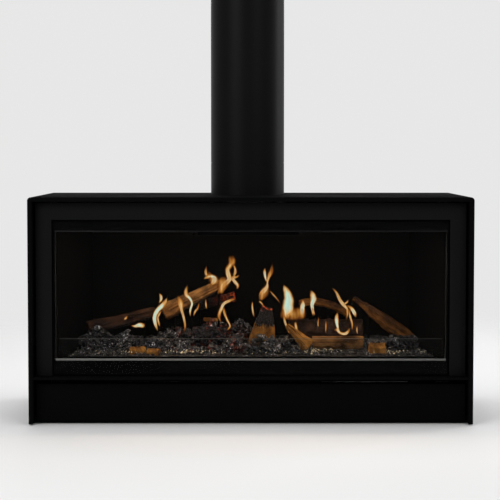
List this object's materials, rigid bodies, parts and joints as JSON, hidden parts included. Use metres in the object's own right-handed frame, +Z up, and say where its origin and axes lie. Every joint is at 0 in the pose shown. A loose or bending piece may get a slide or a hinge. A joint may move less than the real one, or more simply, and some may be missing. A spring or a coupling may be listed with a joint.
{
  "type": "flued gas log fire",
  "caption": "Freestanding dark grey steel gas log fire with a wide glass window, ceramic logs, a drop-down control panel and a round flue.",
  "frame": {"origin": "on the floor, under the middle of the casing's width and depth", "axes": "+Z up along the flue; the glass front looks along -Y; +X to the viewer's right"},
  "size_m": [1.16, 0.41, 1.224],
  "materials": {
    "shell_paint": "satin dark grey stove enamel",
    "fascia_paint": "satin dark grey stove enamel",
    "stove_black": "matt black heat-resistant enamel",
    "flue_paint": "satin dark grey stove enamel",
    "zinc_sheet": "plain zinc-coated sheet",
    "spring_steel": "bright zinc plate",
    "liner_steel": "stainless, dull",
    "polished_strip": "polished",
    "clear_ceramic": "clear glass ceramic",
    "seal_rope": "woven glass rope",
    "magnet_grey": "nickel plate",
    "brass": "plain brass",
    "copper": "plain copper",
    "cast_alloy": "die-cast",
    "bright_metal": "polished",
    "control_black": "fine texture",
    "lever_red": "dipped grip",
    "glide_rubber": "solid rubber",
    "bark_tan": "ceramic fibre, light bark",
    "bark_red": "ceramic fibre, red-brown bark",
    "bark_dark": "ceramic fibre, dark bark",
    "split_wood": "ceramic fibre, split wood",
    "charred": "ceramic fibre, charred",
    "charred_hot": "ceramic fibre, charred and glowing",
    "glowing_end": "ceramic fibre, glowing",
    "embers": "vermiculite and ceramic embers"
  },
  "bodies": {
    "root": {"casing_shell": "shell_paint", "casing_back": "zinc_sheet", "base_pan": "zinc_sheet", "glides": "glide_rubber", "fascia_frame": "fascia_paint", "fascia_clips": "spring_steel", "hearth_ledge": "shell_paint", "cross_rail": "zinc_sheet", "flue_collar": "flue_paint", "flue_pipe": "flue_paint", "flue_liner": "liner_steel", "flue_spacers": "liner_steel", "intake_duct": "zinc_sheet", "door_pins": "spring_steel", "catch_magnets": "magnet_grey", "firebox_wrapper": "stove_black", "firebox_sides": "stove_black", "firebox_flange": "stove_black", "firebox_legs": "zinc_sheet", "baffle_plate": "stove_black", "burner_tray": "stove_black", "burner_tube": "liner_steel", "gas_jet": "brass", "pilot_burner": "liner_steel", "glass_guard": "clear_ceramic", "log_pegs": "stove_black", "ember_bed": "embers", "log_split": "bark_tan", "log_back_left": "bark_red", "log_charred_left": "charred", "log_charred_middle": "charred_hot", "log_glowing_stub": "glowing_end", "log_block": "split_wood", "log_dark": "bark_dark", "log_plank": "bark_tan", "log_stick": "bark_tan", "log_arch": "bark_dark", "log_branch": "split_wood", "log_charred_right": "charred", "bark_chunks": "split_wood", "panel_pins": "spring_steel", "control_plate": "zinc_sheet", "gas_valve": "cast_alloy", "igniter_body": "control_black", "switch_bezel": "control_black", "gas_pipes": "copper", "gas_cock": "brass", "blower_housing": "zinc_sheet", "power_inlet": "control_black"},
    "door": {"door_frame": "stove_black", "door_glass": "clear_ceramic", "door_seal": "seal_rope", "door_trim": "polished_strip"},
    "panel": {"plinth_panel": "shell_paint"},
    "knob": {"gas_knob": "control_black"},
    "igniter": {"igniter_button": "bright_metal"},
    "rocker": {"fan_switch": "control_black"},
    "lever": {"cock_lever": "lever_red"},
    "shutter": {"air_shutter": "brass"},
    "rotor": {"blower_rotor": "cast_alloy"}
  },
  "joints": [
    {"name": "door_tilt", "type": "hinge", "parent": "root", "child": "door", "pos_m": [0, -0.1669, 0.523], "axis": [-1, 0, 0], "range_deg": [0, 25]},
    {"name": "panel_drop", "type": "hinge", "parent": "root", "child": "panel", "pos_m": [0, -0.175, 0.014], "axis": [1, 0, 0], "range_deg": [0, 90]},
    {"name": "knob_turn", "type": "hinge", "parent": "root", "child": "knob", "pos_m": [0.25, -0.12, 0.06], "axis": [0, -1, 0], "range_deg": [0, 180]},
    {"name": "igniter_push", "type": "slide", "parent": "root", "child": "igniter", "axis": [0, 1, 0], "range_m": [0, 0.005], "stiffness_N_per_m": 500, "springref_m": -0.002},
    {"name": "switch_rock", "type": "hinge", "parent": "root", "child": "rocker", "pos_m": [0.385, -0.107, 0.06], "axis": [-1, 0, 0], "range_deg": [0, 20]},
    {"name": "cock_turn", "type": "hinge", "parent": "root", "child": "lever", "pos_m": [0.17, 0.13, 0.077], "axis": [0, 0, 1], "range_deg": [0, 90]},
    {"name": "shutter_turn", "type": "hinge", "parent": "root", "child": "shutter", "pos_m": [0.2915, -0.075, 0.143], "axis": [-1, 0, 0], "range_deg": [0, 45]},
    {"name": "rotor_spin", "type": "hinge", "parent": "root", "child": "rotor", "pos_m": [-0.19, 0.112, 0.052], "axis": [1, 0, 0], "continuous": true}
  ]
}
